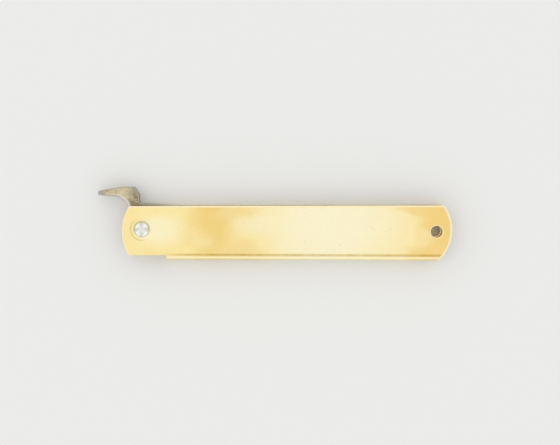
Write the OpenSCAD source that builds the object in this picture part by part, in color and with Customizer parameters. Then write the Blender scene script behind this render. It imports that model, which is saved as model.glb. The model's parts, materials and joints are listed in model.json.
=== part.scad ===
// Friction folding pocket knife, drawn closed and lying on its side.
// The handle is one brass sheet folded into a channel that is open along the top edge. The blade turns on
// a rivet through both walls, and its tang carries a lever that stands out in front of the closed handle.
// X runs along the handle from the pivot end to the butt, Y from the folded back to the open edge and
// Z through the thickness. The origin is the middle of the footprint on the table. Millimetres.

/* [Handle] */
// Length of the handle from the pivot end to the butt
handle_length = 100; // [94:1:120]
// Height of the side at the pivot, from the folded back to the open edge
handle_height = 16.35; // [15.5:0.05:18]
// How much taller the side is at the lanyard hole than at the pivot
butt_rise = 0.5; // [0:0.05:1]
// Thickness of the brass sheet
sheet_thickness = 1; // [0.8:0.05:1.3]
// Outer radius of the two bends along the back
bend_radius = 1.5; // [1.4:0.1:1.9]
// Radius of the rounded pivot end
front_radius = 14.5; // [12:0.1:18]
// Height above the folded back at which the pivot end reaches furthest
front_crest = 8.6; // [7.5:0.1:9]
// Radius of the rounded butt
butt_radius = 12.8; // [11:0.1:18]
// Height above the folded back at which the butt reaches furthest
butt_crest = 9.3; // [7.5:0.1:9.5]
// Radius of the corner between the butt and the open edge
butt_corner_radius = 1.2; // [0.4:0.1:2.5]
// Length from the pivot end over which the folded back is cut away
notch_length = 13.4; // [12.5:0.1:14.5]
// How far that cut reaches past the floor of the channel
notch_overcut = 0.45; // [0.15:0.05:0.6]

/* [Lanyard hole] */
// Diameter of the hole through both walls
lanyard_diameter = 3.5; // [2.5:0.1:4.5]
// Distance from the butt to the centre of the hole
lanyard_inset = 4.8; // [4:0.1:6]
// Height of the centre of the hole above the folded back
lanyard_height = 8.9; // [7:0.1:10]

/* [Pivot] */
// Distance from the pivot end to the pivot axis
pivot_inset = 6; // [5.7:0.1:6.5]
// Height of the pivot axis above the folded back
pivot_height = 9.3; // [8.8:0.1:9.6]
// Diameter of the rivet's shank
pin_diameter = 3; // [2.4:0.1:3.4]
// Radial gap between the shank and the hole in the tang
pin_running_gap = 0.04; // [0.02:0.01:0.08]
// Radial gap between the shank and the holes in the handle
pin_seat_gap = 0.02; // [0.01:0.01:0.05]
// Diameter of both rivet heads
head_diameter = 4.7; // [4.2:0.1:5]
// Height of both rivet heads above their seats
head_height = 0.75; // [0.55:0.05:1]
// Height of the upright rim of each head
head_rim = 0.15; // [0.1:0.01:0.2]
// Width of the two crossed grooves staked into the upper head
stake_width = 0.95; // [0.6:0.05:1.2]
// Depth of those grooves
stake_depth = 0.3; // [0.2:0.05:0.4]
// Outer diameter of the dimple pressed into each wall round the rivet
dimple_diameter = 6.7; // [6.5:0.1:7.5]
// Depth of each dimple, which stands out by as much inside the channel
dimple_depth = 0.25; // [0.15:0.01:0.35]
// Width of the sloping side of each dimple
dimple_slope = 0.7; // [0.4:0.05:0.75]
// Gap between each dimple's inner face and the tang
dimple_gap = 0.03; // [0.01:0.01:0.06]

/* [Blade] */
// Gap between the point of the closed blade and the lanyard hole, along the handle
point_gap = 3; // [1:0.1:12]
// Thickness of the blade at the spine and the tang
blade_thickness = 2.6; // [2:0.1:3.2]
// Radius of the tang round the pivot
tang_radius = 5.3; // [4.8:0.1:5.4]
// Height of the spine above the open edge, measured at the pivot
spine_stand = 0.72; // [0.3:0.02:0.9]
// Slope of the spine down into the channel, in degrees
spine_angle = 2.8; // [2:0.1:3.2]
// Slope of the straight clip from the spine down to the point, in degrees
clip_angle = 43; // [35:1:60]
// Gap between the cutting edge and the floor of the closed handle
edge_gap = 1; // [0.6:0.1:1.6]
// Width of the ground bevel
bevel_width = 5.6; // [4:0.1:7]
// Thickness left at the cutting edge
edge_thickness = 0.06; // [0.04:0.01:0.12]
// Lean of the bevel's end at the heel, in degrees from upright
plunge_lean = 24; // [0:1:35]
// Gap between the heel and the bends of the closed handle
heel_gap = 0.05; // [0.03:0.01:0.15]
// Distance from the cut end of the folded back to the heel
heel_setback = 1.5; // [1:0.1:2.5]
// Length of the heel along the floor
heel_length = 4.2; // [3:0.1:6]

/* [Lever] */
// Distance from the pivot axis to the tip of the lever
lever_reach = 13.3; // [12.5:0.1:16]
// Gap between the lever and the folded back with the blade turned through 180 degrees
lever_lift = 0.65; // [0.55:0.05:1.1]
// Height of the lever at its knee
lever_height = 2.8; // [2:0.05:3.2]
// Height of the lever at its tip
lever_tip_height = 1.35; // [1.1:0.05:1.8]
// Distance of the knee in front of the neck, along the lever's top
lever_knee = 2.3; // [1.5:0.1:3.5]
// Slope of the lever's underside, in degrees
underside_angle = 2.7; // [1:0.1:4]
// Radius of the hollow between the lever and its neck
hollow_radius = 4.2; // [3.6:0.1:4.4]
// Distance by which the hollow clears the cut end of the folded back, along the handle
hollow_clearance = 0.6; // [0.3:0.1:0.9]
// Width of the neck that joins the lever to the tang
neck_width = 2.9; // [2.5:0.1:3.4]
// Length of the sloping shoulder behind the lever, along the handle
shoulder_length = 1.4; // [1:0.1:2]
// Drop of that shoulder
shoulder_drop = 2.4; // [1.5:0.1:2.6]
// Radius of the rounded corners of the lever
lever_corner_radius = 0.55; // [0.3:0.05:0.55]
// Radius of the fillet between the neck and the spine
neck_fillet_radius = 0.8; // [0.4:0.1:1]

/* [Hidden] */
$fn = 96;

// A cutter reaches this far past what it cuts
cut_over = 1;

// Largest step along the arcs of the blade's outline, in degrees
arc_step = 5;

// Thicknesses, with z = 0 in the middle of the channel
channel_width = blade_thickness + 2 * (dimple_gap + dimple_depth);
handle_thickness = channel_width + 2 * sheet_thickness;
inner_bend_radius = bend_radius - sheet_thickness;
seat_z = handle_thickness / 2 - dimple_depth;
head_top_z = seat_z + head_height;

// Height above the floor at which the blade's square edge first fits between the bends
bend_reach = max(0, inner_bend_radius - (channel_width - blade_thickness) / 2);
bend_rise = inner_bend_radius - sqrt(pow(inner_bend_radius, 2) - pow(bend_reach, 2));

// Places along the handle, with x = 0 at the pivot axis
front_x = -pivot_inset;
butt_x = handle_length - pivot_inset;
notch_x = notch_length - pivot_inset;
front_arc_x = front_x + front_radius;
butt_arc_x = butt_x - butt_radius;
lanyard_x = butt_x - lanyard_inset;
point_x = lanyard_x - lanyard_diameter / 2 - point_gap;

// Heights, with y = 0 at the pivot axis
back_y = -pivot_height;
floor_y = back_y + sheet_thickness;
notch_y = floor_y + notch_overcut;
front_crest_y = back_y + front_crest;
butt_crest_y = back_y + butt_crest;
lanyard_y = back_y + lanyard_height;
heel_y = floor_y + bend_rise + heel_gap;
edge_y = floor_y + edge_gap;

// The open edge climbs towards the butt, and the spine sinks below it into the channel
open_slope = butt_rise / lanyard_x;
function open_y(x) = back_y + handle_height + open_slope * x;
function spine_y(x) = open_y(0) + spine_stand - tan(spine_angle) * x;

// Clip and heel of the blade
clip_x = (spine_y(0) - edge_y - point_x * tan(clip_angle)) / (tan(spine_angle) - tan(clip_angle));
heel_x = notch_x + heel_setback;
heel_end_x = heel_x + heel_length;
edge_start_x = heel_end_x + edge_y - heel_y;

// Lever and neck
hollow_x = -(notch_x + hollow_clearance);
neck_front_x = hollow_x + hollow_radius;
neck_back_x = neck_front_x + neck_width;
knee_x = neck_front_x - lever_knee;
lever_tip_x = -lever_reach;
lever_top_y = pivot_height + lever_lift + lever_height;
function underside_y(x) = pivot_height + lever_lift + (hollow_x - x) * tan(underside_angle);

// Angles between which the tang is round, from the neck to the straight line that ends at the heel
tang_start = acos(neck_front_x / tang_radius);
tang_end = 360 + atan2(heel_y, heel_x) - acos(tang_radius / norm([heel_x, heel_y]));

// Middle of the footprint, seen from the pivot axis
middle = [(lever_tip_x + butt_x) / 2, (back_y + lever_top_y) / 2];

// Unit vector from a to b
function toward(a, b) = (b - a) / norm(b - a);

// Side on which the path a, b, c turns: 1 to the left, -1 to the right
function turn(a, b, c) = sign(cross(b - a, c - b));

// Points along the arc of radius r round centre, from one angle to another
function arc_points(centre, r, from, to) =
    let (steps = ceil(abs(to - from) / arc_step))
    [for (i = [0 : steps]) let (angle = from + (to - from) * i / steps) centre + r * [cos(angle), sin(angle)]];

// Points along the arc of radius r that rounds the corner b between a and c
function corner_points(a, b, c, r) =
    let (
        u = toward(b, a),
        v = toward(b, c),
        half = acos(u * v) / 2,
        centre = b + toward([0, 0], u + v) * r / sin(half),
        start = b + u * r / tan(half) - centre,
        from = atan2(start.y, start.x)
    )
    arc_points(centre, r, from, from + turn(a, b, c) * (180 - 2 * half));

// The path through the corners [x, y, radius], with each corner but the first and last rounded
function rounded_path(corners) =
    let (spots = [for (corner = corners) [corner.x, corner.y]], last = len(corners) - 1)
    [
        for (i = [0 : last])
            each i > 0 && i < last && corners[i].z > 0
                ? corner_points(spots[i - 1], spots[i], spots[i + 1], corners[i].z)
                : [spots[i]]
    ];

// How far along X the line y = rise + slope * x leaves a circle of radius r round [0, 0]
function line_leaves_circle(slope, rise, r) =
    let (stretch = 1 + slope * slope)
    (sqrt(stretch * r * r - rise * rise) - slope * rise) / stretch;

// Section of the folded sheet's outside or inside, standing on y = 0, with both lower corners bent
module fold_section(width, radius, height) {
    translate([radius - width / 2, 0]) square([width - 2 * radius, height]);
    translate([-width / 2, radius]) square([width, height - radius]);
    for (side = [-1, 1])
        translate([side * (width / 2 - radius), radius]) circle(radius);
}

// The sheet folded into a channel, longer and taller than the handle that is cut from it
module folded_sheet() {
    tall = handle_height + butt_rise + cut_over;
    translate([front_x - cut_over, back_y, 0])
        rotate([0, 90, 0])
            linear_extrude(handle_length + 2 * cut_over)
                difference() {
                    fold_section(handle_thickness, bend_radius, tall);
                    translate([0, sheet_thickness])
                        fold_section(channel_width, inner_bend_radius, tall);
                }
}

// Outline of the handle's side: two round ends, a sloping open edge and one rounded corner
module side_outline() {
    low_y = back_y - cut_over;
    high_y = open_y(butt_x) + cut_over;
    line_drop = butt_corner_radius * sqrt(1 + open_slope * open_slope);
    line_rise = open_y(butt_arc_x) - line_drop - butt_crest_y;
    inner = butt_radius - butt_corner_radius;
    corner_x = butt_arc_x + line_leaves_circle(open_slope, line_rise, inner);
    corner = [corner_x, open_y(corner_x) - line_drop];
    outward = toward([butt_arc_x, butt_crest_y], corner);
    difference() {
        intersection() {
            union() {
                translate([front_arc_x, front_crest_y]) circle(front_radius);
                translate([butt_arc_x, butt_crest_y]) circle(butt_radius);
                translate([front_arc_x, low_y]) square([butt_arc_x - front_arc_x, high_y - low_y]);
            }
            polygon([
                [front_x - cut_over, low_y],
                [butt_x + cut_over, low_y],
                [butt_x + cut_over, open_y(butt_x + cut_over)],
                [front_x - cut_over, open_y(front_x - cut_over)]
            ]);
        }
        difference() {
            polygon([
                corner,
                corner + 2 * butt_corner_radius * outward,
                [butt_x + cut_over, high_y],
                [corner_x, high_y]
            ]);
            translate(corner) circle(butt_corner_radius);
        }
    }
}

// A shallow cone that widens up to z_top: a dimple's bowl outside a wall, or its boss inside
module dimple(z_top) {
    translate([0, 0, z_top - dimple_depth])
        cylinder(h = dimple_depth, r1 = dimple_diameter / 2 - dimple_slope, r2 = dimple_diameter / 2);
}

module handle() {
    through = handle_thickness + 2 * cut_over;
    color("goldenrod")
        difference() {
            union() {
                intersection() {
                    folded_sheet();
                    linear_extrude(through, center = true) side_outline();
                }
                for (side = [0, 1])
                    mirror([0, 0, side]) dimple(channel_width / 2);
            }
            for (side = [0, 1])
                mirror([0, 0, side]) dimple(handle_thickness / 2);
            cylinder(h = through, d = pin_diameter + 2 * pin_seat_gap, center = true);
            translate([lanyard_x, lanyard_y, 0]) cylinder(h = through, d = lanyard_diameter, center = true);
            translate([front_x - cut_over, back_y - cut_over, -through / 2])
                cube([notch_length + cut_over, notch_y - back_y + cut_over, through]);
        }
}

// Outline of the closed blade: heel, edge, clip, spine, lever and hollow, and then round the tang
module blade_outline() {
    path = rounded_path([
        [heel_x, heel_y, 0],
        [heel_end_x, heel_y, 0],
        [edge_start_x, edge_y, 0],
        [point_x, edge_y, 0],
        [clip_x, spine_y(clip_x), 0],
        [neck_back_x, spine_y(neck_back_x), neck_fillet_radius],
        [neck_back_x, lever_top_y - shoulder_drop, lever_corner_radius],
        [neck_back_x - shoulder_length, lever_top_y, lever_corner_radius],
        [knee_x, lever_top_y, 0],
        [lever_tip_x, underside_y(lever_tip_x) + lever_tip_height, lever_corner_radius],
        [lever_tip_x, underside_y(lever_tip_x), lever_corner_radius],
        [neck_front_x, underside_y(neck_front_x), hollow_radius],
        [neck_front_x, tang_radius * sin(tang_start), 0]
    ]);
    polygon(concat(path, arc_points([0, 0], tang_radius, tang_start, tang_end)));
}

// What the grinding takes off the upper face along the edge
module bevel_cutter() {
    rise = (blade_thickness - edge_thickness) / 2 / bevel_width;
    reach = point_x + cut_over;
    below = cut_over * rise;
    intersection() {
        rotate([90, 0, 90])
            linear_extrude(reach)
                polygon([
                    [edge_y - cut_over, edge_thickness / 2 - below],
                    [edge_y + bevel_width + cut_over, blade_thickness / 2 + below],
                    [edge_y - cut_over, blade_thickness / 2 + below]
                ]);
        translate([edge_start_x, edge_y, 0])
            rotate([0, 0, -plunge_lean])
                translate([0, -bevel_width - 2 * cut_over, -blade_thickness])
                    cube([reach, 3 * bevel_width + reach, 2 * blade_thickness]);
    }
}

module blade() {
    color("lightgray")
        difference() {
            linear_extrude(blade_thickness, center = true) blade_outline();
            for (side = [0, 1])
                mirror([0, 0, side]) bevel_cutter();
            cylinder(h = blade_thickness + 2 * cut_over, d = pin_diameter + 2 * pin_running_gap, center = true);
        }
}

// A low dome on an upright rim, standing on z = 0
module rivet_head() {
    radius = head_diameter / 2;
    dome = head_height - head_rim;
    ball = (radius * radius + dome * dome) / (2 * dome);
    intersection() {
        cylinder(h = head_height, r = radius);
        translate([0, 0, head_height - ball]) sphere(ball);
    }
}

module pivot_rivet() {
    groove = (stake_width * stake_width / 4 + stake_depth * stake_depth) / (2 * stake_depth);
    color("silver")
        difference() {
            union() {
                cylinder(h = 2 * seat_z, d = pin_diameter, center = true);
                for (side = [0, 1])
                    mirror([0, 0, side]) translate([0, 0, seat_z]) rivet_head();
            }
            for (turned = [0, 90])
                translate([0, 0, head_top_z - stake_depth + groove])
                    rotate([90, 0, turned]) cylinder(h = 2 * head_diameter, r = groove, center = true);
        }
}

// Moves a piece from the pivot's own axes to the part's origin
module placed() {
    translate([-middle.x, -middle.y, head_top_z]) children();
}

placed() handle();
placed() blade();
placed() pivot_rivet();
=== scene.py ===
# Friction folding pocket knife, closed and lying on its side: a folded brass sheet handle, a steel blade
# with a thumb lever, and the staked rivet that the blade turns on. Lengths are in metres.

import json
import math

import bmesh
import bpy
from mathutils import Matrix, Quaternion, Vector


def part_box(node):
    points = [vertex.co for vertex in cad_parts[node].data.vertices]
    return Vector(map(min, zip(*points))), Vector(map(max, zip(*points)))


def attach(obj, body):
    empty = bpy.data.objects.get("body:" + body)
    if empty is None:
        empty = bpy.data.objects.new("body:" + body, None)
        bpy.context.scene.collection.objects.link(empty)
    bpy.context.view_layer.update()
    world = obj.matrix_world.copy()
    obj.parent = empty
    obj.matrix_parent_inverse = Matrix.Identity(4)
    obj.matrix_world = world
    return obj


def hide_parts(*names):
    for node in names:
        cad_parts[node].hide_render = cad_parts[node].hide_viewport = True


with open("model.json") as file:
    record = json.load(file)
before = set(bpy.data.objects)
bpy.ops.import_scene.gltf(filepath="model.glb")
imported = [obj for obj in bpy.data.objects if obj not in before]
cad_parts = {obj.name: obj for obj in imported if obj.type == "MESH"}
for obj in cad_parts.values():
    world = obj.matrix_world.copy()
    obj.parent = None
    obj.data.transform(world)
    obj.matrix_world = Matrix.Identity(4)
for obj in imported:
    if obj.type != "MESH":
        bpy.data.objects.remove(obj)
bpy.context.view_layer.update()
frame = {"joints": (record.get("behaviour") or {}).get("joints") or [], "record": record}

MM = 0.001


# Places that the frame gives

hinge = frame["joints"][0]
mounts = {mount["name"]: mount for mount in frame["record"]["mounts"]}
pivot = Vector(hinge["pos_m"])
lanyard = Vector(mounts["lanyard_hole"]["pos_m"])
lanyard_radius = mounts["lanyard_hole"]["dims"]["r_mm"] * MM
handle_low, handle_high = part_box("handle")
blade_low, blade_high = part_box("blade")
rivet_low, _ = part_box("pivot_rivet")
back_y = handle_low.y
mid_z = pivot.z


# Sizes of the handle

SHEET = 1.0 * MM
BEND_RADIUS = 1.5 * MM
FRONT_RADIUS = 14.5 * MM
FRONT_CREST = 8.6 * MM
FRONT_SWEEP = (140, 220)  # degrees between which the pivot end is round
BUTT_RADIUS = 12.8 * MM
BUTT_CREST = 9.3 * MM
BUTT_START = -50  # degrees from which the butt is round, up to its corner
BUTT_CORNER = 1.2 * MM
HEIGHT_AT_PIVOT = 16.35 * MM
BUTT_RISE = 0.5 * MM
NOTCH_LENGTH = 13.4 * MM
NOTCH_DEPTH = 1.45 * MM
FRONT_ROUNDING = (0.45 * MM, 0.2 * MM)  # across the wall's flat, and down its cut
OPEN_ROUNDING = (0.6 * MM, 0.35 * MM)
BUTT_ROUNDING = (0.9 * MM, 0.4 * MM)
BACK_SHARE = 0.25  # of these roundings, at the back
HOLE_ROUNDING = 0.3 * MM
INNER_HOLE_ROUNDING = 0.15 * MM
MOUTH_FLAT = 0.2 * MM  # a flat ring round the hole's rounded mouth
FOLD_SHADE_HEIGHT = 1.66 * MM
BEND_HIGHLIGHT_HEIGHT = 0.8 * MM
PATCH_DEPTH = 20 * MM  # a painted reflection shows alike on both walls

# Sizes of the dimples and the rivet

PIN_RADIUS = 1.5 * MM
DIMPLE_RADIUS = 3.35 * MM
DIMPLE_SLOPE = 0.8 * MM
DIMPLE_DEPTH = 0.25 * MM
OUTER_DIMPLE_DEPTH = 0.09 * MM
HEAD_RADIUS = 2.35 * MM
HEAD_HEIGHT = 0.75 * MM
HEAD_RIM = 0.15 * MM
HEAD_FLATNESS = 5  # power at which a head falls towards its rim
STAKE_WIDTH = 1.5 * MM
STAKE_DEPTH = 0.16 * MM
STAKE_REACH = 6  # power at which the grooves run out towards the rim

# Sizes of the blade and its lever

TANG_RADIUS = 5.3 * MM
SPINE_STAND = 0.72 * MM
SPINE_SLOPE = math.tan(math.radians(2.8))
CLIP_SLOPE = math.tan(math.radians(43))
EDGE_GAP = 1.0 * MM
BEVEL_WIDTH = 5.6 * MM
EDGE_THICKNESS = 0.06 * MM
PLUNGE_LEAN = math.radians(24)
PLUNGE_RUN = 1.1 * MM
HEEL_SETBACK = 1.5 * MM
HEEL_LENGTH = 4.2 * MM
HOLLOW_CLEARANCE = 0.6 * MM
HOLLOW_RADIUS = 4.2 * MM
NECK_WIDTH = 2.9 * MM
NECK_FILLET = 0.8 * MM
LEVER_KNEE = 2.3 * MM
LEVER_HEIGHT = 2.8 * MM
LEVER_TIP_HEIGHT = 1.35 * MM
UNDERSIDE_SLOPE = math.tan(math.radians(2.7))
SHOULDER_LENGTH = 1.4 * MM
SHOULDER_DROP = 2.4 * MM
LEVER_CORNER = 0.55 * MM
TIP_CORNER = 0.3 * MM
BLADE_RIM = 0.25 * MM
TANG_HOLE_RADIUS = 1.54 * MM
TANG_HOLE_FLAT = 0.4 * MM  # a flat ring round that hole
hollow = Vector((2 * pivot.x - handle_low.x - NOTCH_LENGTH - HOLLOW_CLEARANCE,
                 blade_high.y - LEVER_HEIGHT - HOLLOW_RADIUS, mid_z))

# Camera, from the photograph: its lean towards the open edge shows as the far rim in the lanyard hole

CAMERA_DISTANCE = 0.3
CAMERA_LEAN = 0.022
CAMERA_AIM = Vector((1.47, 0.51)) * MM
CAMERA_ROLL = 0.22  # in degrees
FRAME_WIDTH = 0.16918
SENSOR_WIDTH = 36  # in millimetres

# Studio

ROOM_LEVEL = 0.85  # how bright the room is, where 1 is white
FLOOR_REACH = 3.0

# How finely shapes are drawn

SIDE_CUTS = 15  # cuts on each side of a hole's window, for a ring of 64 corners
BEND_STEPS = 9  # facets of each bend below the notch's edge
RIM_FLATS = 5  # flats across a rounded rim
END_STEP = 3  # degrees between the flats of the pivot end and the butt
CORNER_STEP = 8  # and of the butt's corner
DIMPLE_RINGS = 8
MOUTH_RINGS = 4
HEAD_RINGS = 24
RIVET_SIDES = 96
TANG_STEPS = 24
FILLET_FLATS = 12  # of the neck's hollow
CORNER_FLATS = 5  # of a corner under a millimetre in radius
PLUNGE_STEPS = 4
BLADE_RIM_FLATS = 4

# What helps the cutting

SPARE = 2 * MM  # a blank reaches this far past what is trimmed from it
LANYARD_MARGIN = 1.1 * MM  # a hole's square window reaches this far past it
DIMPLE_MARGIN = 0.6 * MM
TANG_MARGIN = 1.0 * MM
SHORTEST = 0.02 * MM  # corners of the handle that are nearer to each other than this become one
NOTHING = 1e-7
WALL_LIKE = 0.99  # upward share of a normal from which a skin of the sheet is rounded as a wall
LEVEL = 0.999  # and from which a face lies flat
BLADE_SIDE = 0.5  # and from which it is part of the blade's side and not of its rim
SHARP = math.radians(40)  # faces that meet at more than this are shaded apart
STEEP = math.radians(50)  # and at more than this have a rim of the blade between them
RIM_STAND = 0.9 * MM  # the blade's rounded rims lie further than this from its middle plane


# Mesh helpers

def everything(bm):
    return bm.verts[:] + bm.edges[:] + bm.faces[:]


def verts_in(geom):
    return [g for g in geom if isinstance(g, bmesh.types.BMVert)]


def around(faces):
    """The faces with their edges and corners, as the cutting operators take them."""
    edges = dict.fromkeys(edge for face in faces for edge in face.edges)
    verts = dict.fromkeys(vert for face in faces for vert in face.verts)
    return list(verts) + list(edges) + list(faces)


def lead(bm, vert, place):
    """A new corner at place, joined to vert by an edge."""
    new = bmesh.ops.extrude_vert_indiv(bm, verts=[vert])["verts"][0]
    new.co = place
    return new


def swing(bm, vert, centre, axis, degrees, steps):
    """Draws an arc of edges from vert round centre and gives its last corner."""
    turn = math.radians(degrees)
    arc = bmesh.ops.spin(bm, geom=[vert], cent=centre, axis=axis, angle=turn, steps=steps)
    return verts_in(arc["geom_last"])[0]


def eased(share):
    """From 0 to 1 with a soft start and a soft end."""
    return 3 * share ** 2 - 2 * share ** 3


def score(bm, geom, point, normal):
    """Splits the faces in geom along a plane."""
    bmesh.ops.bisect_plane(bm, geom=geom, dist=NOTHING, plane_co=point, plane_no=normal)


def close_cuts(bm):
    """Closes the open edges, in the piece's second material."""
    closed = bmesh.ops.holes_fill(bm, edges=[edge for edge in bm.edges if edge.is_boundary], sides=0)
    for face in closed["faces"]:
        face.material_index = 1


def trim(bm, point, outward):
    """Cuts off what lies outside a plane and closes the cut."""
    if all((vert.co - point).dot(outward) < NOTHING for vert in bm.verts):
        return
    bmesh.ops.bisect_plane(
        bm, geom=everything(bm), dist=NOTHING, plane_co=point, plane_no=outward, clear_outer=True
    )
    close_cuts(bm)


def round_cuts(centre, radius, start, end, step=END_STEP):
    """Planes, each a point and an outward normal, that round a side seen along Z between two angles."""
    count = math.ceil((end - start) / step)
    angles = [math.radians(start + (end - start) * i / count) for i in range(count + 1)]
    ways = [Vector((math.cos(angle), math.sin(angle), 0)) for angle in angles]
    return [(centre + radius * way, way) for way in ways]


def round_rims(bm, cuts, skins, rounding):
    """Eases the rims between cuts and skins, given as planes, with flats that touch an oval rounding. The
    rounding narrows round the bends, down to a crisp edge at the back."""
    for cut, across in cuts:
        for skin, out in skins:
            if abs(out.z) < WALL_LIKE and cut.y > back_y + BEND_RADIUS + rounding[0]:
                continue
            wide, deep = (size * max(abs(out.z), BACK_SHARE) for size in rounding)
            corner = across.angle(out)
            for i in range(1, RIM_FLATS + 1):
                turn = corner * i / (RIM_FLATS + 1)
                a = math.sin(corner - turn) / math.sin(corner)
                b = math.sin(turn) / math.sin(corner)
                way = a * across + b * out
                corner_reach = a * (cut.dot(across) - wide) + b * (skin.dot(out) - deep)
                reach = corner_reach + math.hypot(a * wide, b * deep)
                trim(bm, reach * way, way)


def piece_from(bm, name, body, node, materials):
    """Makes the mesh an object that stands for a node and rides on a body."""
    mesh = bpy.data.meshes.new(name)
    bm.to_mesh(mesh)
    bm.free()
    for polygon in mesh.polygons:
        polygon.use_smooth = True
    piece = bpy.data.objects.new(name, mesh)
    bpy.context.scene.collection.objects.link(piece)
    for material in materials:
        mesh.materials.append(material)
    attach(piece, body)
    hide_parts(node)
    return piece


def split_flats(piece):
    """Splits the many-sided flats into triangles without slivers, and keeps the shading."""
    flats = piece.modifiers.new("split_flats", "TRIANGULATE")
    flats.ngon_method = "BEAUTY"
    flats.min_vertices = 5
    flats.keep_custom_normals = True


# Material helpers

def linear(hex_code):
    """Linear colour from an sRGB hex code."""
    channels = [int(hex_code[i:i + 2], 16) / 255 for i in (1, 3, 5)]
    return (*[c / 12.92 if c <= 0.04045 else ((c + 0.055) / 1.055) ** 2.4 for c in channels], 1)


def grey(level):
    return (level, level, level, 1)


def add(tree, kind, inputs=None, stops=(), **settings):
    """Adds a node, with its settings and a ramp's stops, and gives its outputs by name. An input, by name or
    number, is set to a value or linked from another node's output."""
    node = tree.nodes.new("ShaderNode" + kind)
    for name, value in settings.items():
        setattr(node, name, value)
    for key, value in (inputs or {}).items():
        socket = next(s for i, s in enumerate(node.inputs) if key in (i, s.name) and s.enabled)
        if isinstance(value, bpy.types.NodeSocket):
            tree.links.new(value, socket)
        else:
            socket.default_value = value
    if stops:
        elements = node.color_ramp.elements
        while len(elements) < len(stops):
            elements.new(0.5)
        for element, (position, colour) in zip(elements, stops):
            element.position = position
            element.color = colour
    return {socket.name: socket for socket in node.outputs if socket.enabled}


def start_material(name):
    """An empty material, with its tree and the piece's own coordinates in metres."""
    material = bpy.data.materials.new(name)
    material.use_nodes = True
    tree = material.node_tree
    tree.nodes.clear()
    return material, tree, add(tree, "TexCoord")["Object"]


def finish(tree, inputs):
    """Ends a material with its shader."""
    shader = add(tree, "BsdfPrincipled", inputs)["BSDF"]
    add(tree, "OutputMaterial", {"Surface": shader})


def grains(tree, place, size, **inputs):
    """A noise with one grain every so many millimetres along x, y and z."""
    count = [1 / (length * MM) for length in size]
    counted = add(tree, "Mapping", {"Vector": place, "Scale": count})["Vector"]
    return add(tree, "TexNoise", {"Vector": counted, "Scale": 1.0, **inputs})


def wandering(tree, place, noise, reach):
    """Coordinates shifted along x and y by a noise's colour, up to reach metres either way."""
    shift = add(tree, "Mapping", {"Vector": noise["Color"], "Location": (-reach, -reach, 0),
                                  "Scale": (2 * reach, 2 * reach, 0)})["Vector"]
    return add(tree, "VectorMath", {0: place, 1: shift}, operation="ADD")["Vector"]


def patch(tree, place, centre, size):
    """A soft patch: 1 as far as a quarter of its size from its centre, falling to 0 at its size along x, y
    and z."""
    near = add(tree, "Mapping", {"Vector": place, "Location": centre, "Scale": size}, vector_type="TEXTURE")
    ball = add(tree, "TexGradient", {"Vector": near["Vector"]}, gradient_type="SPHERICAL")["Fac"]
    return add(tree, "MapRange", {"Value": ball, "From Min": 0.0, "From Max": 0.75},
               interpolation_type="SMOOTHSTEP")["Result"]


def band(tree, value, middle, full, gone, strength=1.0):
    """A soft band round a middle value: its strength as far as full from it, falling to 0 at gone."""
    above = add(tree, "Math", {0: value, 1: middle}, operation="SUBTRACT")["Value"]
    off = add(tree, "Math", {0: above}, operation="ABSOLUTE")["Value"]
    return add(tree, "MapRange", {"Value": off, "From Min": full, "From Max": gone, "To Min": strength,
                                  "To Max": 0.0}, interpolation_type="SMOOTHSTEP")["Result"]


def from_axis(tree, place, centre):
    """The offset along x and y from the upright line through centre, and the distance from it."""
    offset = add(tree, "VectorMath", {0: place, 1: centre}, operation="SUBTRACT")["Vector"]
    flat = add(tree, "VectorMath", {0: offset, 1: (1, 1, 0)}, operation="MULTIPLY")["Vector"]
    return flat, add(tree, "VectorMath", {0: flat}, operation="LENGTH")["Value"]


def painted_shade_round_rivet(tree, ring, flat, least, most):
    """Painted shade in a ring round the rivet: strongest above the pivot and weakest below."""
    y = add(tree, "SeparateXYZ", {"Vector": flat})["Y"]
    stronger_above = add(tree, "MapRange", {"Value": y, "From Min": -2 * MM, "From Max": 0.0, "To Min": least,
                                  "To Max": most})["Result"]
    return add(tree, "Math", {0: ring, 1: stronger_above}, operation="MULTIPLY")["Value"]


def coated(tree, colour, coats):
    """A colour under coats. Each has a factor that says how far it shows, a hex colour and a way to blend."""
    for factor, tint, blend in coats:
        colour = add(tree, "Mix", {"Factor": factor, "A": colour, "B": linear(tint)}, data_type="RGBA",
                     blend_type=blend)["Result"]
    return colour


# Materials

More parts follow.
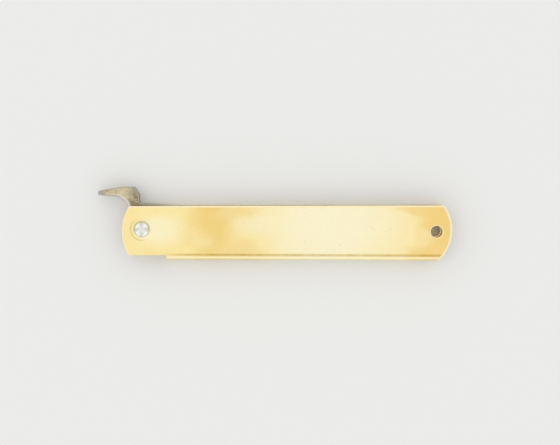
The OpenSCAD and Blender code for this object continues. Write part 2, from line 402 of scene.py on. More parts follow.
def polished_sheet_brass():
    """Rolled sheet brass, buffed by hand: warm yellow with a cloudy haze, painted reflections of the room
    that lie pale or deeper on the walls, a few tarnish spots, and hairlines that run along the sheet. A line
    of painted shade follows the foot of each wall, and a painted highlight runs along the bend below it. The
    dimple's lip has painted shade towards the pivot end, and a painted shadow rings the rivet's head."""
    material, tree, place = start_material("polished_sheet_brass")
    # Buffing by hand leaves haze as wide as the fingertips that pressed the cloth
    cloud = grains(tree, place, (14, 9, 9), Detail=3.0, Roughness=0.5)
    drifted = wandering(tree, place, cloud, 4 * MM)
    colour = add(tree, "ValToRGB", {"Fac": cloud["Fac"]},
                 stops=[(0.3, linear("#FDE69E")), (0.7, linear("#FFEDAF"))])["Color"]
    patches_with_painted_light = [  # painted reflections of the room, pale and deeper: middle and reach along x and y, in millimetres, from the pivot end to the butt
        ((-35.2, -2.2), (9.8, 6.8), "#FEF4C8"),
        ((-19.0, 2.0), (10.0, 26.0), "#F5D787"),
        ((-19.5, 10.0), (9.0, 7.0), "#F0CC78"),
        ((-23.5, -5.0), (7.0, 4.5), "#FAE4A2"),
        ((-7.0, 0.5), (11.0, 7.5), "#FBECB8"),
        ((-11.8, 4.2), (10.5, 3.8), "#F8DE98"),
        ((-10.4, -8.2), (10.5, 3.8), "#F8DE98"),
        ((17.5, 0.0), (31.5, 22.0), "#FEF5D0"),
        ((43.5, 4.6), (9.0, 2.8), "#F8DC94"),
        ((45.0, -8.4), (6.8, 4.2), "#F7D98E"),
        ((51.0, 0.5), (9.4, 21.0), "#F8D687"),
        ((45.8, -3.2), (3.2, 3.4), "#FCE5A6"),
    ]
    colour = coated(tree, colour, [
        (patch(tree, drifted, (x * MM, y * MM, mid_z), (wide * MM, tall * MM, PATCH_DEPTH)), tint, "MIX")
        for (x, y), (wide, tall), tint in patches_with_painted_light])
    speck = grains(tree, place, (2.6, 1.9, 1.9), Detail=2.0, Roughness=0.6)["Fac"]
    tarnish = add(tree, "ValToRGB", {"Fac": speck}, stops=[(0.66, grey(0)), (0.80, grey(0.3))])["Color"]
    # Painted shade, a dark reflection along the foot of each wall: it fades towards the cut in the back, and
    # is uneven along the sheet
    at = add(tree, "SeparateXYZ", {"Vector": place})
    painted_fold_shade = band(tree, at["Y"], back_y + FOLD_SHADE_HEIGHT, 0.1 * MM, 0.55 * MM)
    along = add(tree, "MapRange", {"Value": at["X"], "From Min": -35 * MM, "From Max": -26 * MM})["Result"]
    uneven = grains(tree, place, (4, 1000, 1000), Detail=2.0, Roughness=0.6)["Fac"]
    uneven = add(tree, "MapRange", {"Value": uneven, "From Min": 0.35, "From Max": 0.6, "To Min": 0.65,
                                    "To Max": 1.0})["Result"]
    painted_fold_shade = add(tree, "Math", {0: painted_fold_shade, 1: along}, operation="MULTIPLY")["Value"]
    painted_fold_shade = add(tree, "Math", {0: painted_fold_shade, 1: uneven}, operation="MULTIPLY")["Value"]
    # Painted highlight along the outside of the bend, where a lamp would show in it
    painted_bend_highlight = band(tree, at["Y"], back_y + BEND_HIGHLIGHT_HEIGHT, 0.2 * MM, 0.65 * MM, 0.7)
    flat, away = from_axis(tree, place, pivot)
    # Painted shade on the dimple's lip, towards the pivot end
    lip = band(tree, away, DIMPLE_RADIUS, 0.0, 0.4 * MM)
    to_end = add(tree, "VectorMath", {0: flat, 1: (-0.9, -0.45, 0)}, operation="DOT_PRODUCT")["Value"]
    to_end = add(tree, "MapRange", {"Value": to_end, "From Min": 0.0, "From Max": 2.5 * MM})["Result"]
    lip = add(tree, "Math", {0: lip, 1: to_end}, operation="MULTIPLY")["Value"]
    # Painted shadow round the rivet's head, where it meets the dimple
    ring = add(tree, "MapRange", {"Value": away, "From Min": HEAD_RADIUS - 0.1 * MM,
                                  "From Max": HEAD_RADIUS + 0.4 * MM})["Result"]
    ring = add(tree, "ValToRGB", {"Fac": ring},
               stops=[(0.0, grey(0.75)), (0.4, grey(0.5)), (1.0, grey(0))])["Color"]
    colour = coated(tree, colour, [
        (tarnish, "#CFA65C", "MIX"),
        (painted_fold_shade, "#DCD0B2", "MULTIPLY"),
        (painted_bend_highlight, "#FFF3C6", "MIX"),
        (lip, "#E9E3CD", "MULTIPLY"),
        (painted_shade_round_rivet(tree, ring, flat, 0.4, 1.0), "#BCB081", "MIX"),
    ])
    haze = grains(tree, place, (6, 4, 4), Detail=4.0, Roughness=0.6)["Fac"]
    rough = add(tree, "MapRange", {"Value": haze, "From Min": 0.3, "From Max": 0.7, "To Min": 0.24,
                                   "To Max": 0.32})["Result"]
    wave = grains(tree, place, (16, 9, 9), Detail=1.0)["Fac"]
    # Real hairlines are some hundredths of a millimetre wide, and are drawn as coarse as they need to show
    hair = grains(tree, place, (20, 0.22, 0.22), Detail=2.0, Roughness=0.7)["Fac"]
    rolled = add(tree, "Bump", {"Height": wave, "Strength": 1.0, "Distance": 0.12 * MM})["Normal"]
    buffed = add(tree, "Bump", {"Height": hair, "Strength": 0.25, "Distance": 0.004 * MM,
                                "Normal": rolled})["Normal"]
    finish(tree, {"Base Color": colour, "Metallic": 1.0, "Roughness": rough, "Normal": buffed})
    return material


def filed_brass():
    """Cut edges of the sheet, filed round and rubbed bright by the hand, with a near white painted highlight,
    palest and pinkish at the pivot end, with short file marks."""
    material, tree, place = start_material("filed_brass")
    # Rubbing and a painted highlight: paler and pinkish towards the pivot end
    wear_and_highlight = patch(tree, place, (handle_low.x, 0, mid_z), (12 * MM, 30 * MM, 30 * MM))
    colour = coated(tree, linear("#FFF2C6"), [(wear_and_highlight, "#FFEED2", "MIX")])
    # The teeth of a smooth file stand a quarter to half a millimetre apart
    marks = grains(tree, place, (0.25, 0.25, 2), Detail=2.0)["Fac"]
    bump = add(tree, "Bump", {"Height": marks, "Strength": 0.3, "Distance": 0.006 * MM})["Normal"]
    finish(tree, {"Base Color": colour, "Metallic": 1.0, "Roughness": 0.3, "Normal": bump})
    return material


def forged_steel():
    """Carbon steel as it left the hammer and the wheel, gone dull: tan grey, mottled olive and brown, with
    dark and pale specks and fine pits. It has painted shade round the pivot and up the lever's neck, painted
    light on the neck over the thumb's wear, is paler where the thumb rubs the lever's hollow, and greyer at
    the tip."""
    material, tree, place = start_material("forged_steel")
    # Scale comes off in flakes a few millimetres wide, and leaves specks and pits under a millimetre
    mottle = grains(tree, place, (5, 3.6, 3.6), Detail=5.0, Roughness=0.7, Distortion=0.3)["Fac"]
    colour = add(tree, "ValToRGB", {"Fac": mottle},
                 stops=[(0.32, linear("#AAA086")), (0.46, linear("#C3B698")),
                        (0.58, linear("#D1C2A1")), (0.72, linear("#BDBAA0"))])["Color"]
    patches_with_painted_light = [  # middle from the pivot along x and y, and reach, in millimetres
        # painted shade round the pivot, towards the handle
        ((0, 0), 12.5, "#7E745A"),
        ((-5.8, 10.6), 4.4, "#DCCEAC"),
        # painted shade up the lever's neck
        ((-0.5, 8.0), 6.6, "#90856A"),
        # painted light on the neck, over the thumb's wear
        ((-3.6, 9.6), 2.0, "#DAC6A0"),
        ((-1.6, 12.5), 3.2, "#9C9985"),
        ((-3.8, 11.7), 2.2, "#BBBB9E"),
        ((-13.3, 10.75), 3.6, "#A7A4A2"),
    ]
    colour = coated(tree, colour, [
        (patch(tree, place, pivot + Vector((x, y, 0)) * MM, [reach * MM] * 3), tint, "MIX")
        for (x, y), reach, tint in patches_with_painted_light])
    speck = grains(tree, place, (1, 0.8, 0.8), Detail=2.0, Roughness=0.6)["Fac"]
    dark = add(tree, "ValToRGB", {"Fac": speck}, stops=[(0.52, grey(0)), (0.68, grey(0.4))])["Color"]
    pale = add(tree, "ValToRGB", {"Fac": speck}, stops=[(0.34, grey(0.45)), (0.48, grey(0))])["Color"]
    pits = grains(tree, place, (0.5, 0.5, 0.5), Detail=3.0, Roughness=0.7)["Fac"]
    pitted = add(tree, "ValToRGB", {"Fac": pits}, stops=[(0.58, grey(0)), (0.72, grey(0.45))])["Color"]
    _, away = from_axis(tree, place, hollow)
    thumbed = add(tree, "MapRange", {"Value": away, "From Min": HOLLOW_RADIUS + 0.2 * MM,
                                     "From Max": HOLLOW_RADIUS + 1.1 * MM, "To Min": 0.6, "To Max": 0.0},
                  interpolation_type="SMOOTHSTEP")["Result"]
    colour = coated(tree, colour, [
        (dark, "#7F7459", "MIX"),
        (pale, "#E2D9C0", "MIX"),
        (pitted, "#7A7058", "MIX"),
        (thumbed, "#E6DCCB", "MIX"),
    ])
    rough = add(tree, "MapRange", {"Value": mottle, "From Min": 0.3, "From Max": 0.7, "To Min": 0.48,
                                   "To Max": 0.36})["Result"]
    bump = add(tree, "Bump", {"Height": pits, "Strength": 0.5, "Distance": 0.03 * MM})["Normal"]
    finish(tree, {"Base Color": colour, "Metallic": 0.9, "Roughness": rough, "Normal": bump})
    return material


def ground_steel():
    """Steel ground bright on the wheel: pale grey, with fine lines square to the edge, and a brighter strip
    where the edge was honed on a stone."""
    material, tree, place = start_material("ground_steel")
    # A wheel of 120 grit leaves lines about 0.1 mm apart, drawn a little coarser so that they show
    lines = grains(tree, place, (0.16, 12, 12), Detail=3.0, Roughness=0.7)["Fac"]
    colour = add(tree, "ValToRGB", {"Fac": lines},
                 stops=[(0.35, linear("#B9B7B0")), (0.65, linear("#DAD8D1"))])["Color"]
    edge_y = back_y + SHEET + EDGE_GAP
    honed = add(tree, "MapRange", {"Value": add(tree, "SeparateXYZ", {"Vector": place})["Y"],
                                   "From Min": edge_y + 0.7 * MM, "From Max": edge_y + 0.85 * MM,
                                   "To Min": 1.0, "To Max": 0.0})["Result"]
    colour = coated(tree, colour, [(honed, "#EAE8E3", "MIX")])
    bump = add(tree, "Bump", {"Height": lines, "Strength": 0.35, "Distance": 0.008 * MM})["Normal"]
    finish(tree, {"Base Color": colour, "Metallic": 1.0, "Roughness": 0.28, "Normal": bump})
    return material


def thumbed_steel():
    """Rims of the blade: rubbed bright by the thumb in the lever's hollow, grey at the lever's tip, and dull
    along the spine."""
    material, tree, place = start_material("thumbed_steel")
    rubbed = patch(tree, place, pivot + Vector((-4.4, 8.6, 0)) * MM, [4 * MM] * 3)
    tip = patch(tree, place, (blade_low.x, blade_high.y - 3 * MM, mid_z), (3 * MM, 2 * MM, 2 * MM))
    colour = coated(tree, linear("#B5AD98"), [(rubbed, "#FAF3E8", "MIX"), (tip, "#E2DFD8", "MIX")])
    # Scuffs a few tenths of a millimetre across
    scuffs = grains(tree, place, (0.4, 0.4, 0.4), Detail=2.0)["Fac"]
    bump = add(tree, "Bump", {"Height": scuffs, "Strength": 0.4, "Distance": 0.01 * MM})["Normal"]
    finish(tree, {"Base Color": colour, "Metallic": 1.0, "Roughness": 0.32, "Normal": bump})
    return material


def staked_steel():
    """Mild steel rivet, upset with a hammer and polished with the brass: near white, softly dented, greyer in
    the uneven grooves of the punched cross, and with a painted dark reflection round the rounded rim."""
    material, tree, place = start_material("staked_steel")
    flat, away = from_axis(tree, place, pivot)
    dented = grains(tree, place, (1.7, 1.7, 1.7), Detail=1.0)
    sides = add(tree, "VectorMath", {0: wandering(tree, flat, dented, 0.5 * MM)}, operation="ABSOLUTE")
    sides = add(tree, "SeparateXYZ", {"Vector": sides["Vector"]})
    off_groove = add(tree, "Math", {0: sides["X"], 1: sides["Y"]}, operation="MINIMUM")["Value"]
    groove = add(tree, "MapRange", {"Value": off_groove, "From Min": 0.05 * STAKE_WIDTH,
                                    "From Max": 0.6 * STAKE_WIDTH, "To Min": 1.0, "To Max": 0.0},
                 interpolation_type="SMOOTHSTEP")["Result"]
    height = add(tree, "SeparateXYZ", {"Vector": place})["Z"]
    upper = add(tree, "Math", {0: height, 1: mid_z}, operation="GREATER_THAN")["Value"]
    cross = add(tree, "Math", {0: groove, 1: upper}, operation="MULTIPLY")["Value"]
    outward = add(tree, "MapRange", {"Value": away, "From Min": 0.4 * MM, "From Max": 1.3 * MM})["Result"]
    dull = coated(tree, linear("#E8EADC"), [(outward, "#DAD7CC", "MIX")])
    bright = linear("#FDFCFB")
    colour = add(tree, "Mix", {"Factor": cross, "A": bright, "B": dull}, data_type="RGBA")["Result"]
    # Painted dark reflection and shadow on the head's rounded rim, strongest above the pivot
    rim = add(tree, "MapRange", {"Value": away, "From Min": 1.75 * MM, "From Max": 2.2 * MM},
              interpolation_type="SMOOTHSTEP")["Result"]
    colour = coated(tree, colour, [(painted_shade_round_rivet(tree, rim, flat, 0.3, 0.8), "#BDB58A", "MIX")])
    # A light hammer's dents run into each other, about 1 mm across
    dents = grains(tree, place, (0.9, 0.9, 0.9), Detail=2.0)["Fac"]
    bump = add(tree, "Bump", {"Height": dents, "Strength": 0.4, "Distance": 0.01 * MM})["Normal"]
    finish(tree, {"Base Color": colour, "Metallic": 1.0, "Roughness": 0.32, "Normal": bump})
    return material


# Handle

def folded_blank():
    """The outside of the sheet: two walls, two bends and the back, longer than the handle. Each bend has a
    corner where the cut in the back ends."""
    bm = bmesh.new()
    x = handle_low.x - SPARE
    wall_top = handle_high.y + SPARE
    wall_foot = back_y + BEND_RADIUS
    low_z = handle_low.z
    high_z = handle_high.z
    vert = bmesh.ops.create_vert(bm, co=(x, wall_top, low_z))["vert"][0]
    vert = lead(bm, vert, (x, wall_foot, low_z))
    to_notch = math.degrees(math.asin((BEND_RADIUS - NOTCH_DEPTH) / BEND_RADIUS))
    turns = [(to_notch, 1), (90 - to_notch, BEND_STEPS)]
    for turn, steps in turns:
        vert = swing(bm, vert, (x, wall_foot, low_z + BEND_RADIUS), (1, 0, 0), -turn, steps)
    vert = lead(bm, vert, (x, back_y, high_z - BEND_RADIUS))
    for turn, steps in turns[::-1]:
        vert = swing(bm, vert, (x, wall_foot, high_z - BEND_RADIUS), (1, 0, 0), -turn, steps)
    lead(bm, vert, (x, wall_top, high_z))
    pulled = bmesh.ops.extrude_edge_only(bm, edges=bm.edges[:])["geom"]
    length = handle_high.x - handle_low.x + 2 * SPARE
    bmesh.ops.translate(bm, verts=verts_in(pulled), vec=(length, 0, 0))
    bmesh.ops.recalc_face_normals(bm, faces=bm.faces[:])
    return bm


def cut_notch(bm):
    """Opens the back at the pivot end, where the lever's neck comes down when the knife is open."""
    notch = Vector((handle_low.x + NOTCH_LENGTH, back_y + NOTCH_DEPTH, 0))
    score(bm, everything(bm), notch, (1, 0, 0))
    score(bm, everything(bm), notch, (0, 1, 0))
    cut_out = [face for face in bm.faces
               if (middle := face.calc_center_median()).x < notch.x and middle.y < notch.y]
    bmesh.ops.delete(bm, geom=cut_out, context="FACES")


def shape_ends(bm, skins):
    """Trims the open edge, the round pivot end and the round butt with its small corner, and eases the rims
    that they share with the skins of the sheet."""
    slope = BUTT_RISE / (lanyard.x - pivot.x)
    up = Vector((-slope, 1, 0)).normalized()
    open_point = Vector((pivot.x, back_y + HEIGHT_AT_PIVOT, 0))
    front = Vector((handle_low.x + FRONT_RADIUS, back_y + FRONT_CREST, 0))
    butt = Vector((handle_high.x - BUTT_RADIUS, back_y + BUTT_CREST, 0))
    # The corner's centre lies on a line below the open edge and on a circle inside the butt's
    drop = (open_point - butt).dot(up) - BUTT_CORNER
    run = math.sqrt((BUTT_RADIUS - BUTT_CORNER) ** 2 - drop ** 2)
    corner = butt + drop * up + run * Vector((up.y, -up.x, 0))
    tip_angle = math.degrees(math.atan2(corner.y - butt.y, corner.x - butt.x))
    up_angle = math.degrees(math.atan2(up.y, up.x))
    front_cuts = round_cuts(front, FRONT_RADIUS, *FRONT_SWEEP)
    butt_cuts = round_cuts(butt, BUTT_RADIUS, BUTT_START, tip_angle)
    open_cuts = round_cuts(corner, BUTT_CORNER, tip_angle, up_angle, CORNER_STEP)
    open_cuts.append((open_point, up))
    for cut, across in front_cuts + butt_cuts + open_cuts:
        trim(bm, cut, across)
    round_rims(bm, front_cuts, skins, FRONT_ROUNDING)
    round_rims(bm, butt_cuts, skins, BUTT_ROUNDING)
    round_rims(bm, open_cuts, skins, OPEN_ROUNDING)


def open_window(bm, centre, half):
    """Scores a square round centre in every skin of the walls and gives its faces, from the lowest up."""
    def flats():
        return [face for face in bm.faces if abs(face.normal.z) > LEVEL]

    for side in (-1, 1):
        score(bm, around(flats()), centre + side * Vector((half, 0, 0)), (1, 0, 0))
    for side in (-1, 1):
        slab = [face for face in flats() if abs(face.calc_center_median().x - centre.x) < half]
        score(bm, around(slab), centre + side * Vector((0, half, 0)), (0, 1, 0))
    window = [face for face in flats() if max(map(abs, (face.calc_center_median() - centre).xy)) < half]
    return sorted(window, key=lambda face: face.calc_center_median().z)


def on_ring(corner, centre, radius, z):
    """Where a corner of a square window goes on a ring: as far round it as it was along the square."""
    x, y = (corner - centre).xy
    if abs(x) >= abs(y):
        angle = math.pi / 4 * y / x + (math.pi if x < 0 else 0)
    else:
        angle = math.pi / 2 - math.pi / 4 * x / y + (math.pi if y < 0 else 0)
    return Vector((centre.x + radius * math.cos(angle), centre.y + radius * math.sin(angle), z))


def shift_ring(face, centre, radius, z):
    """Gives a round face another radius and height."""
    for vert in face.verts:
        outward = (vert.co - centre).to_2d().normalized().to_3d()
        vert.co = Vector((centre.x, centre.y, z)) + radius * outward


def pierce(bm, windows, centre, profiles):
    """Rounds each window in steps and runs a hole through each wall. A profile is a list of radius and
    height pairs for one skin, from outside in."""
    mouths = []
    for face, profile in zip(windows, profiles):
        bmesh.ops.subdivide_edges(bm, edges=face.edges[:], cuts=SIDE_CUTS)
        face = bmesh.ops.extrude_discrete_faces(bm, faces=[face])["faces"][0]
        for vert in face.verts:
            vert.co = on_ring(vert.co, centre, *profile[0])
        for radius, z in profile[1:]:
            face = bmesh.ops.extrude_discrete_faces(bm, faces=[face])["faces"][0]
            shift_ring(face, centre, radius, z)
        mouths.append(face)
    for low, high in zip(mouths[::2], mouths[1::2]):
        radius = (low.verts[0].co - centre).to_2d().length
        end = bmesh.ops.extrude_discrete_faces(bm, faces=[high])["faces"][0]
        shift_ring(end, centre, radius, low.verts[0].co.z)
        meeting = low.verts[:] + end.verts[:]
        bmesh.ops.delete(bm, geom=[low, end], context="FACES_ONLY")
        bmesh.ops.remove_doubles(bm, verts=meeting, dist=NOTHING)


def dimple_profile(z, push):
    """Rings of a soft round dent that is pushed in by push, from the flat of the wall to the hole."""
    rows = []
    for i in range(DIMPLE_RINGS + 1):
        share = i / DIMPLE_RINGS
        rows.append((DIMPLE_RADIUS - share * DIMPLE_SLOPE, z + push * eased(share)))
    return rows + [(PIN_RADIUS, z + push)]


def mouth_profile(z, inward, rounding):
    """Rings of the lanyard hole's round mouth, from the flat of the wall into the hole."""
    rows = [(lanyard_radius + rounding + MOUTH_FLAT, z)]
    for i in range(MOUTH_RINGS + 1):
        turn = math.pi / 2 * i / MOUTH_RINGS
        radius = lanyard_radius + rounding * (1 - math.sin(turn))
        rows.append((radius, z + inward * rounding * (1 - math.cos(turn))))
    return rows


def brass_handle(materials):
    """The folded sheet with its cut, its shaped ends, the lanyard hole and the dimples round the rivet."""
    bm = folded_blank()
    skins = [(face.calc_center_median(), face.normal.copy()) for face in bm.faces]
    cut_notch(bm)
    bmesh.ops.solidify(bm, geom=bm.faces[:], thickness=SHEET)
    shape_ends(bm, skins)
    bmesh.ops.remove_doubles(bm, verts=bm.verts[:], dist=SHORTEST)
    close_cuts(bm)
    # The walls' four skins from the lowest up, and the way from each into its wall
    walls = [handle_low.z, handle_low.z + SHEET, handle_high.z - SHEET, handle_high.z]
    inward = [1, -1, 1, -1]
    windows = open_window(bm, lanyard, lanyard_radius + LANYARD_MARGIN)
    roundings = [HOLE_ROUNDING, INNER_HOLE_ROUNDING, INNER_HOLE_ROUNDING, HOLE_ROUNDING]
    pierce(bm, windows, lanyard, [mouth_profile(*row) for row in zip(walls, inward, roundings)])
    for face in bm.faces:
        if (face.calc_center_median() - lanyard).to_2d().length < lanyard_radius + HOLE_ROUNDING:
            face.material_index = 1
    windows = open_window(bm, pivot, DIMPLE_RADIUS + DIMPLE_MARGIN)
    pushes = [OUTER_DIMPLE_DEPTH, DIMPLE_DEPTH, -DIMPLE_DEPTH, -OUTER_DIMPLE_DEPTH]
    pierce(bm, windows, pivot, [dimple_profile(z, push) for z, push in zip(walls, pushes)])
    bmesh.ops.recalc_face_normals(bm, faces=bm.faces[:])
    handle = piece_from(bm, "brass_handle", "handle", "handle", materials)
    handle.data.set_sharp_from_angle(angle=SHARP)
    handle.modifiers.new("flat_walls", "WEIGHTED_NORMAL").keep_sharp = True
    split_flats(handle)
    return handle


# Rivet

def head_profile(crown_z, inward):
    """Radius and height pairs of a head: almost flat, then falling round to its rim."""
    fall = HEAD_HEIGHT - HEAD_RIM
    shares = [i / HEAD_RINGS for i in range(HEAD_RINGS + 1)]
    return [(HEAD_RADIUS * share, crown_z + inward * fall * share ** HEAD_FLATNESS) for share in shares]


def press_cross(bm, rim_z):
    """Presses two crossed grooves into the head above rim_z, which run out towards its rim."""
    for vert in bm.verts:
        if vert.co.z > rim_z:
            away = vert.co - pivot
            across = min(abs(away.x), abs(away.y)) / (STAKE_WIDTH / 2)
            fade = 1 - (away.to_2d().length / HEAD_RADIUS) ** STAKE_REACH
            vert.co.z -= STAKE_DEPTH * max(0, 1 - across ** 2) ** 2 * fade


def staked_rivet(materials):
    """A shank between two flat domed heads, turned as one shape. The upper head carries a staked cross."""
    bm = bmesh.new()
    low_z = rivet_low.z
    high_z = 2 * mid_z - low_z
    low_seat = low_z + HEAD_HEIGHT
    high_seat = high_z - HEAD_HEIGHT
    profile = head_profile(high_z, -1)
    profile += [(HEAD_RADIUS, high_seat), (PIN_RADIUS, high_seat)]
    profile += [(PIN_RADIUS, low_seat), (HEAD_RADIUS, low_seat)]
    profile += head_profile(low_z, 1)[::-1]
    place = [Vector((pivot.x + radius, pivot.y, z)) for radius, z in profile]
    vert = bmesh.ops.create_vert(bm, co=place[0])["vert"][0]
    for co in place[1:]:
        vert = lead(bm, vert, co)
    bmesh.ops.spin(bm, geom=everything(bm), cent=pivot, axis=(0, 0, 1), angle=math.tau, steps=RIVET_SIDES,
                   use_merge=True)
    bmesh.ops.remove_doubles(bm, verts=bm.verts[:], dist=NOTHING)
    bmesh.ops.recalc_face_normals(bm, faces=bm.faces[:])
    press_cross(bm, high_seat + HEAD_RIM / 2)
    rivet = piece_from(bm, "staked_rivet", "handle", "pivot_rivet", materials)
    rivet.data.set_sharp_from_angle(angle=SHARP)
    return rivet


# Blade

def blade_face(bm):
    """The closed blade's outline as one flat face, in the blade's middle plane."""
    def at(x, y):
        return pivot + Vector((x, y, 0))

    back = back_y - pivot.y
    floor = back + SHEET
    notch = handle_low.x + NOTCH_LENGTH - pivot.x
    heel_x = notch + HEEL_SETBACK
    heel_y = blade_low.y - pivot.y
    edge_y = floor + EDGE_GAP
    edge_x = heel_x + HEEL_LENGTH + edge_y - heel_y
    point_x = blade_high.x - pivot.x
    spine_y = back + HEIGHT_AT_PIVOT + SPINE_STAND
    clip_x = (spine_y - edge_y - point_x * CLIP_SLOPE) / (SPINE_SLOPE - CLIP_SLOPE)
    hollow_x = -(notch + HOLLOW_CLEARANCE)
    neck_x = hollow_x + HOLLOW_RADIUS
    shoulder_x = neck_x + NECK_WIDTH
    tip_x = blade_low.x - pivot.x
    top_y = blade_high.y - pivot.y
    under_y = top_y - LEVER_HEIGHT
    tip_y = under_y + (hollow_x - tip_x) * UNDERSIDE_SLOPE
    tang_start = math.acos(neck_x / TANG_RADIUS)
    tang_end = math.tau + math.atan2(heel_y, heel_x) - math.acos(TANG_RADIUS / math.hypot(heel_x, heel_y))
    corners = [
        (heel_x, heel_y, 0),
        (heel_x + HEEL_LENGTH, heel_y, 0),
        (edge_x, edge_y, 0),
        (point_x, edge_y, 0),
        (clip_x, spine_y - SPINE_SLOPE * clip_x, 0),
        (shoulder_x, spine_y - SPINE_SLOPE * shoulder_x, NECK_FILLET),
        (shoulder_x, top_y - SHOULDER_DROP, LEVER_CORNER),
        (shoulder_x - SHOULDER_LENGTH, top_y, LEVER_CORNER),
        (neck_x - LEVER_KNEE, top_y, 0),
        (tip_x, tip_y + LEVER_TIP_HEIGHT, LEVER_CORNER),
        (tip_x, tip_y, TIP_CORNER),
        (neck_x, under_y + (hollow_x - neck_x) * UNDERSIDE_SLOPE, HOLLOW_RADIUS),
        (neck_x, TANG_RADIUS * math.sin(tang_start), 0),
    ]
    verts = [bmesh.ops.create_vert(bm, co=at(x, y))["vert"][0] for x, y, radius in corners]
    for first, second in zip(verts, verts[1:]):
        bm.edges.new((first, second))
    turned = math.degrees(tang_end - tang_start)
    last = swing(bm, verts[-1], pivot, (0, 0, 1), turned, TANG_STEPS)
    bm.edges.new((last, verts[0]))
    bmesh.ops.contextual_create(bm, geom=bm.edges[:])
    for (x, y, radius), vert in zip(corners, verts):
        if radius:
            before, after = (edge.other_vert(vert).co - vert.co for edge in vert.link_edges)
            offset = radius / math.tan(before.angle(after) / 2)
            flats = FILLET_FLATS if radius > MM else CORNER_FLATS
            bmesh.ops.bevel(bm, geom=[vert], offset=offset, offset_type="OFFSET", segments=flats, profile=0.5,
                            affect="VERTICES", material=-1)
    return at(edge_x, edge_y)


def steel_blade(materials):
    """The outline, scored where the grind starts and ends, pulled into a solid, thinned to the edge, pierced
    for the rivet and rounded along its thick rims."""
    bm = bmesh.new()
    edge_start = blade_face(bm)
    full = (blade_high.z - blade_low.z) / 2
    grind_y = edge_start.y + BEVEL_WIDTH
    past = Vector((math.cos(PLUNGE_LEAN), -math.sin(PLUNGE_LEAN), 0))
    score(bm, everything(bm), edge_start, past)
    beyond = [f for f in bm.faces if (f.calc_center_median() - edge_start).dot(past) > 0]
    score(bm, around(beyond), Vector((0, grind_y, 0)), (0, 1, 0))

    def is_ground(face):
        middle = face.calc_center_median()
        return middle.y < grind_y and (middle - edge_start).dot(past) > 0

    for i in range(1, PLUNGE_STEPS + 1):
        ground = [face for face in bm.faces if is_ground(face)]
        score(bm, around(ground), edge_start + past * PLUNGE_RUN * i / PLUNGE_STEPS, past)

    def half(co):
        """Half the thickness at a point of the outline."""
        depth = min(1, max(0, (co - edge_start).dot(past) / PLUNGE_RUN))
        rise = min(1, max(0, (co.y - edge_start.y) / BEVEL_WIDTH))
        thinned = EDGE_THICKNESS / 2 + (full - EDGE_THICKNESS / 2) * rise
        return full + (thinned - full) * eased(depth)

    lower = bm.verts[:]
    pulled = bmesh.ops.extrude_face_region(bm, geom=bm.faces[:], use_keep_orig=True)["geom"]
    for side, verts in ((-1, lower), (1, verts_in(pulled))):
        for vert in verts:
            vert.co.z = mid_z + side * half(vert.co)
    bmesh.ops.recalc_face_normals(bm, faces=bm.faces[:])
    for face in bm.faces:
        face.material_index = 2 if is_ground(face) and abs(face.normal.z) > BLADE_SIDE else 0
    windows = open_window(bm, pivot, TANG_HOLE_RADIUS + TANG_MARGIN)
    radii = (TANG_HOLE_RADIUS + TANG_HOLE_FLAT, TANG_HOLE_RADIUS)
    pierce(bm, windows, pivot, [[(radius, z) for radius in radii] for z in (blade_low.z, blade_high.z)])
    bmesh.ops.recalc_face_normals(bm, faces=bm.faces[:])
    rim = bm.edges.layers.float.new("bevel_weight_edge")
    for edge in bm.edges:
        on_grind_line = all(abs(vert.co.y - grind_y) < NOTHING for vert in edge.verts)
        thick = min(abs(vert.co.z - mid_z) for vert in edge.verts) > RIM_STAND
        steep = edge.calc_face_angle() > STEEP
        if steep and thick:
            edge[rim] = 1
        edge.smooth = not (on_grind_line or (steep and not thick))
    blade = piece_from(bm, "steel_blade", "blade", "blade", materials)
    rims = blade.modifiers.new("rounded_rims", "BEVEL")
    rims.width = BLADE_RIM
    rims.segments = BLADE_RIM_FLATS
    rims.limit_method = "WEIGHT"
    rims.use_clamp_overlap = False
    rims.loop_slide = False
    rims.material = 1
    rims.harden_normals = True
    split_flats(blade)
    return blade


# Floor, lights and camera

def pale_floor():
    """A sheet of pale matte paper under the knife."""
    material, tree, _ = start_material("pale_matte_paper")
    finish(tree, {"Base Color": linear("#EFEFED"), "Roughness": 0.9})
    bm = bmesh.new()
    bmesh.ops.create_grid(bm, x_segments=1, y_segments=1, size=FLOOR_REACH)
    mesh = bpy.data.meshes.new("floor")
    bm.to_mesh(mesh)
    bm.free()
    mesh.materials.append(material)
    floor = bpy.data.objects.new("floor", mesh)
    bpy.context.scene.collection.objects.link(floor)


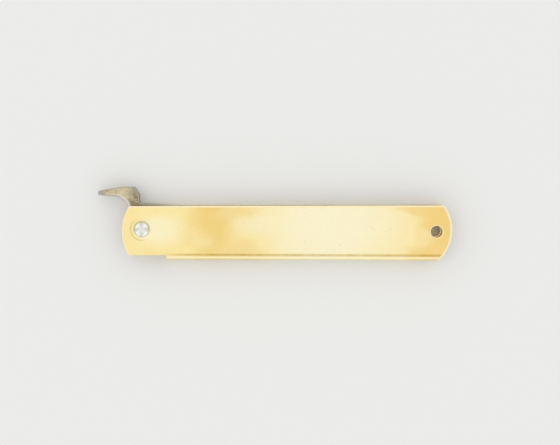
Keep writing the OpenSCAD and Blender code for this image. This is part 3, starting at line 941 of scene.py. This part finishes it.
def soft_lamp(name, place, width, height, radiance, aim=(0, 0, 0)):
    """A soft lamp, turned to aim, that adds radiance to what is seen of it in the metal, where 1 is white."""
    lamp = bpy.data.lights.new(name, "AREA")
    lamp.shape = "RECTANGLE"
    lamp.size = width
    lamp.size_y = height
    lamp.energy = 4 * radiance * width * height  # a lamp's radiance is its power over four times its area
    holder = bpy.data.objects.new(name, lamp)
    holder.location = place
    holder.rotation_euler = (Vector(place) - Vector(aim)).to_track_quat("Z", "Y").to_euler()
    holder.visible_camera = False
    bpy.context.scene.collection.objects.link(holder)


def studio():
    """A pale room with a wide soft lamp overhead and a lower one on each of its four sides."""
    world = bpy.data.worlds.new("pale_room")
    world.use_nodes = True
    world.node_tree.nodes["Background"].inputs["Color"].default_value = grey(ROOM_LEVEL)
    bpy.context.scene.world = world
    bpy.context.scene.view_settings.view_transform = "Standard"
    soft_lamp("overhead", (-0.1, 0.1, 1.2), 1.1, 1.0, 0.1, (-0.1, 0.1, 0.0))
    soft_lamp("front", (0.0, -1.1, 0.7), 2.2, 0.8, 0.15)
    soft_lamp("back", (0.0, 1.1, 0.7), 2.2, 0.8, 0.15)
    soft_lamp("left", (-1.1, 0.0, 0.7), 2.0, 0.8, 0.15)
    soft_lamp("right", (1.1, 0.0, 0.7), 2.0, 0.8, 0.15)


def camera():
    """Almost straight above the knife, as in the photograph."""
    lens = bpy.data.cameras.new("camera")
    holder = bpy.data.objects.new("camera", lens)
    bpy.context.scene.collection.objects.link(holder)
    bpy.context.scene.camera = holder
    lens.sensor_width = SENSOR_WIDTH
    lens.lens = SENSOR_WIDTH * math.hypot(CAMERA_LEAN, CAMERA_DISTANCE) / FRAME_WIDTH
    lens.clip_start = 0.01
    holder.location = (CAMERA_AIM.x, CAMERA_AIM.y + CAMERA_LEAN, handle_high.z + CAMERA_DISTANCE)
    lean = Quaternion((1, 0, 0), -math.atan2(CAMERA_LEAN, CAMERA_DISTANCE))
    roll = Quaternion((0, 0, 1), math.radians(CAMERA_ROLL))
    holder.rotation_euler = (lean @ roll).to_euler()


brass_handle([polished_sheet_brass(), filed_brass()])
steel_blade([forged_steel(), thumbed_steel(), ground_steel()])
staked_rivet([staked_steel()])
pale_floor()
studio()
camera()
